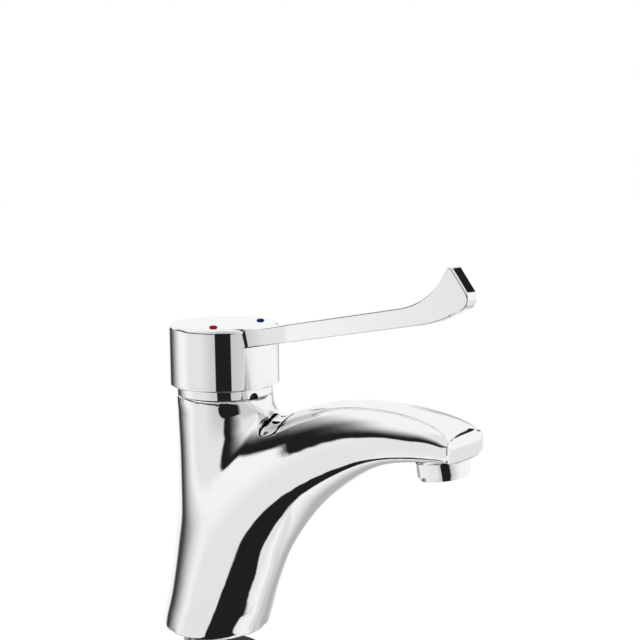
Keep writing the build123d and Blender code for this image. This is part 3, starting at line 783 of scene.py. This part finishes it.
@dataclass
class MirroredRoom:
    """White light from all round, with the dark gaps that the chrome mirrors.

    A turn is in degrees from the way towards the camera, rightwards as the camera sees it, and a lift
    in degrees above the level. Below the level, aside and before are places on a floor one unit down,
    to the camera's right and towards the camera.
    """

    azimuth: float
    upright: Window = Window((-19.0, 13.5), 1.0, (-33.0, 24.0), 6.0)
    right_edge: Window = Window((149.0, 166.0), 4.0, (-16.0, 20.0), 5.0)
    right_edge_depth: float = 0.45
    high_card: Window = Window((100.0, 128.0), 2.0, (23.0, 31.5), 1.0)
    floor_top: Span = (-34.0, -32.0)
    floor_sides: Span = (-0.71, 0.6)
    floor_side_soft: float = 0.04
    floor_near_rim: Span = (0.08, 0.18)
    floor_rim_lean: float = 0.8
    oval_middle: Span = (0.3, 0.1)
    oval_spread: Span = (0.12, 0.155)
    oval_rim: Span = (0.8, 1.05)
    belt_lift: float = 2.0
    belt_left_rise: float = 11.0
    belt_left_turns: Span = (-100.0, -84.0)
    belt_front_drop: float = 8.0
    belt_front_turns: Span = (-50.0, -10.0)
    belt_foot: Span = (-1.5, 1.5)
    belt_fade: Span = (6.0, 30.0)
    belt_turns: Span = (-126.0, 20.0)
    belt_soft: float = 5.0
    left_lean: float = 14.0
    left_lean_lifts: Span = (-16.0, -11.0)
    left_start: Span = (-142.0, -132.0)
    left_end: Span = (-128.0, -84.0)
    left_lifts: Span = (-30.0, 12.0)
    left_soft: float = 3.0
    left_edge_depth: float = 0.96
    front_dim: float = 0.14
    front_start: Span = (-92.0, -76.0)
    front_end: Span = (30.0, 80.0)
    low_right_dim: float = 0.16
    low_right_turns: Span = (86.0, 118.0)
    low_right_soft: float = 6.0
    low_right_top: Span = (-13.0, -11.0)
    round_gap_dim: float = 0.2
    round_gap_turns: Span = (-37.0, 40.0)
    round_gap_soft: float = 18.0
    round_gap_foot: Span = (-35.0, -20.0)
    low_behind_dim: float = 0.5
    low_behind_start: Span = (0.0, 0.8)
    low_behind_top: Span = (-36.0, -26.0)
    panel_light: float = 0.95
    gap_light: float = 0.015
    least_drop: float = 0.001

    def __post_init__(self) -> None:
        """Make the world and find every direction in it."""
        world = bpy.data.worlds.new("white_room")
        bpy.context.scene.world = world
        self.sh = Shader(world)
        heading = self.sh.add("ShaderNodeTexCoord", out="Generated")
        facing = math.radians(self.azimuth) - math.pi / 2
        near = self.along(heading, (math.cos(facing), math.sin(facing), 0.0))
        across = self.along(heading, (-math.sin(facing), math.cos(facing), 0.0))
        height = self.along(heading, (0.0, 0.0, 1.0))
        arc = self.sh.add("ShaderNodeMath", {"operation": "ARCTAN2"}, {0: across, 1: near})
        rise = self.sh.add("ShaderNodeMath", {"operation": "ARCSINE"}, {0: height})
        self.turn = arc * math.degrees(1.0)
        self.lift = rise * math.degrees(1.0)
        down = (0.0 - height).larger(self.least_drop)
        self.aside = across / down
        self.before = near / down

    def along(self, heading: Sock, way: tuple[float, float, float]) -> Sock:
        """The share of a direction that points this way."""
        values = {0: heading, 1: way}
        return self.sh.add("ShaderNodeVectorMath", {"operation": "DOT_PRODUCT"}, values, "Value")

    def floor_gap(self) -> Sock:
        """The dark part of the floor, which leaves out one oval light.

        Returns:
            The gap's share, from 0 to 1.
        """
        right, near = self.oval_middle
        wide, deep = self.oval_spread
        oval = (self.aside - right) * (self.aside - right) / wide
        oval = oval + (self.before - near) * (self.before - near) / deep
        gap = 1 - self.lift.ease(*self.floor_top)
        gap = gap * self.aside.between(*self.floor_sides, self.floor_side_soft) * oval.ease(*self.oval_rim)
        leaning = self.before + self.floor_rim_lean * (0.0 - self.aside).larger(0.0)
        return gap * leaning.ease(*self.floor_near_rim)

    def belt(self) -> Sock:
        """A dark stretch just above the level, from the left round to the camera.

        Returns:
            The belt's share, from 0 to 1.
        """
        left_rise = self.belt_left_rise * (1 - self.turn.ease(*self.belt_left_turns))
        front_drop = self.belt_front_drop * self.turn.ease(*self.belt_front_turns)
        over = self.lift - (self.belt_lift + left_rise - front_drop)
        around = self.turn.between(*self.belt_turns, self.belt_soft)
        return over.ease(*self.belt_foot) * (1 - over.ease(*self.belt_fade)) * around

    def left_edge(self) -> Sock:
        """A dark upright on the left, a little behind the tap.

        Returns:
            The edge's share, from 0 to its own depth.
        """
        drawn = self.turn + self.left_lean * self.lift.ease(*self.left_lean_lifts)
        across = drawn.ease(*self.left_start) * (1 - drawn.ease(*self.left_end))
        return across * self.lift.between(*self.left_lifts, self.left_soft) * self.left_edge_depth

    def dimming(self) -> Sock:
        """How far the panels dim in front, low on the right, round the upright gap and low behind.

        Returns:
            The light that is lost.
        """
        front = self.front_dim * self.turn.ease(*self.front_start) * (1 - self.turn.ease(*self.front_end))
        low_right = self.low_right_dim * self.turn.between(*self.low_right_turns, self.low_right_soft)
        low_right = low_right * (1 - self.lift.ease(*self.low_right_top))
        round_gap = self.round_gap_dim * self.turn.between(*self.round_gap_turns, self.round_gap_soft)
        round_gap = round_gap * self.lift.ease(*self.round_gap_foot)
        low_behind = self.low_behind_dim * (0.0 - self.before).ease(*self.low_behind_start)
        low_behind = low_behind * (1 - self.lift.ease(*self.low_behind_top))
        return front + round_gap + low_right + low_behind

    def build(self) -> None:
        """Join the gaps and light the world with what is left."""
        dark = self.upright.share(self.turn, self.lift).larger(self.floor_gap())
        dark = dark.larger(self.belt()).larger(self.left_edge())
        dark = dark.larger(self.right_edge.share(self.turn, self.lift) * self.right_edge_depth)
        dark = dark.larger(self.high_card.share(self.turn, self.lift))
        light = (self.panel_light - self.dimming()) * (1 - dark) + self.gap_light
        path = self.sh.add("ShaderNodeLightPath", out="Is Camera Ray")
        values = {"Color": shade(1, 1, 1), "Strength": path + (1 - path) * light}
        shader = self.sh.add("ShaderNodeBackground", values=values)
        self.sh.add("ShaderNodeOutputWorld", values={"Surface": shader})


@dataclass
class Studio:
    """The floor, the room and the camera."""

    camera_place: tuple[float, float, float] = (335.0 * MM, -309.5 * MM, 206.9 * MM)
    pan: float = 0.0990076
    tilt: float = 0.134044
    roll: float = -0.0049219
    azimuth: float = 46.539
    focal_share: float = 977.51 / 640
    sensor_width: float = 36.0
    sight: Span = (0.01, 50.0)
    floor_z: float = -62.3 * MM
    floor_span: float = 30.0
    floor_colours: tuple[Colour, Colour] = (shade(0.93, 0.93, 0.93), shade(0.95, 0.95, 0.95))
    floor_rough: float = 0.9
    floor_glow: float = 0.27
    floor_cloud_scale: float = 3.0

    def camera(self) -> bpy.types.Object:
        """The camera where the photograph was taken from.

        Returns:
            The camera, set as the scene's own.
        """
        data = bpy.data.cameras.new("photo_camera")
        data.sensor_width = self.sensor_width
        data.lens = self.focal_share * self.sensor_width
        data.clip_start, data.clip_end = self.sight
        camera = bpy.data.objects.new("photo_camera", data)
        turn = Matrix.Rotation(math.radians(self.azimuth) - self.pan, 4, "Z")
        lean = Matrix.Rotation(math.pi / 2 - self.tilt, 4, "X")
        spin = Matrix.Rotation(self.roll, 4, "Z")
        camera.matrix_world = Matrix.Translation(self.camera_place) @ turn @ lean @ spin
        bpy.context.scene.collection.objects.link(camera)
        bpy.context.scene.camera = camera
        return camera

    def floor(self) -> bpy.types.Object:
        """A pale floor under the studs that metal doesn't mirror.

        Returns:
            The floor, in the scene.
        """
        form = bmesh.new()
        bmesh.ops.create_grid(form, x_segments=4, y_segments=4, size=self.floor_span / 2)
        bmesh.ops.translate(form, verts=form.verts, vec=(0, 0, self.floor_z))
        data = bpy.data.meshes.new("studio_floor")
        form.to_mesh(data)
        form.free()
        floor = bpy.data.objects.new("studio_floor", data)
        material = bpy.data.materials.new("pale_floor")
        sh = Shader(material)
        cloud = sh.noise(sh.place(), self.floor_cloud_scale, 2.0)
        colour = sh.blend(cloud, *self.floor_colours)
        glow = {"Emission Color": shade(1.0, 1.0, 1.0), "Emission Strength": self.floor_glow}
        sh.surface({"Base Color": colour, "Roughness": self.floor_rough, "Specular IOR Level": 0.0, **glow})
        data.materials.append(material)
        floor.visible_glossy = False
        bpy.context.scene.collection.objects.link(floor)
        return floor

    def build(self) -> None:
        """Camera, floor and room."""
        self.camera()
        self.floor()
        MirroredRoom(self.azimuth).build()
        bpy.context.scene.view_settings.view_transform = "Standard"


def main() -> None:
    """Build the pieces in order."""
    logging.basicConfig(level=logging.INFO)
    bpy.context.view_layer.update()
    for name, finish in PLAIN_NODES.items():
        paint(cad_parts[name], finish)
        LOG.info("finished node %s", name)
    castings = (
        FlowingCasting("body_casting", "body", Finish.CHROME, "chrome"),
        SmoothedCasting("collar_ring", "body", Finish.COLLAR_CHROME, "chrome"),
        SmoothedCasting("lever_handle", "handle", Finish.CHROME, "chrome"),
        SmoothedCasting("aerator_housing", "body", Finish.CHROME, "chrome"),
    )
    for casting in castings:
        piece = casting.build()
        LOG.info("built %s with %d faces", piece.name, len(piece.data.polygons))
    for mark in (DomedMark("hot_marker", Finish.RED_MARK), DomedMark("cold_marker", Finish.BLUE_MARK)):
        LOG.info("built %s", mark.build().name)
    LOG.info("built %s", ThreadedStuds().build().name)
    Studio().build()
    LOG.info("boxes written")


if __name__ == "__main__":
    main()
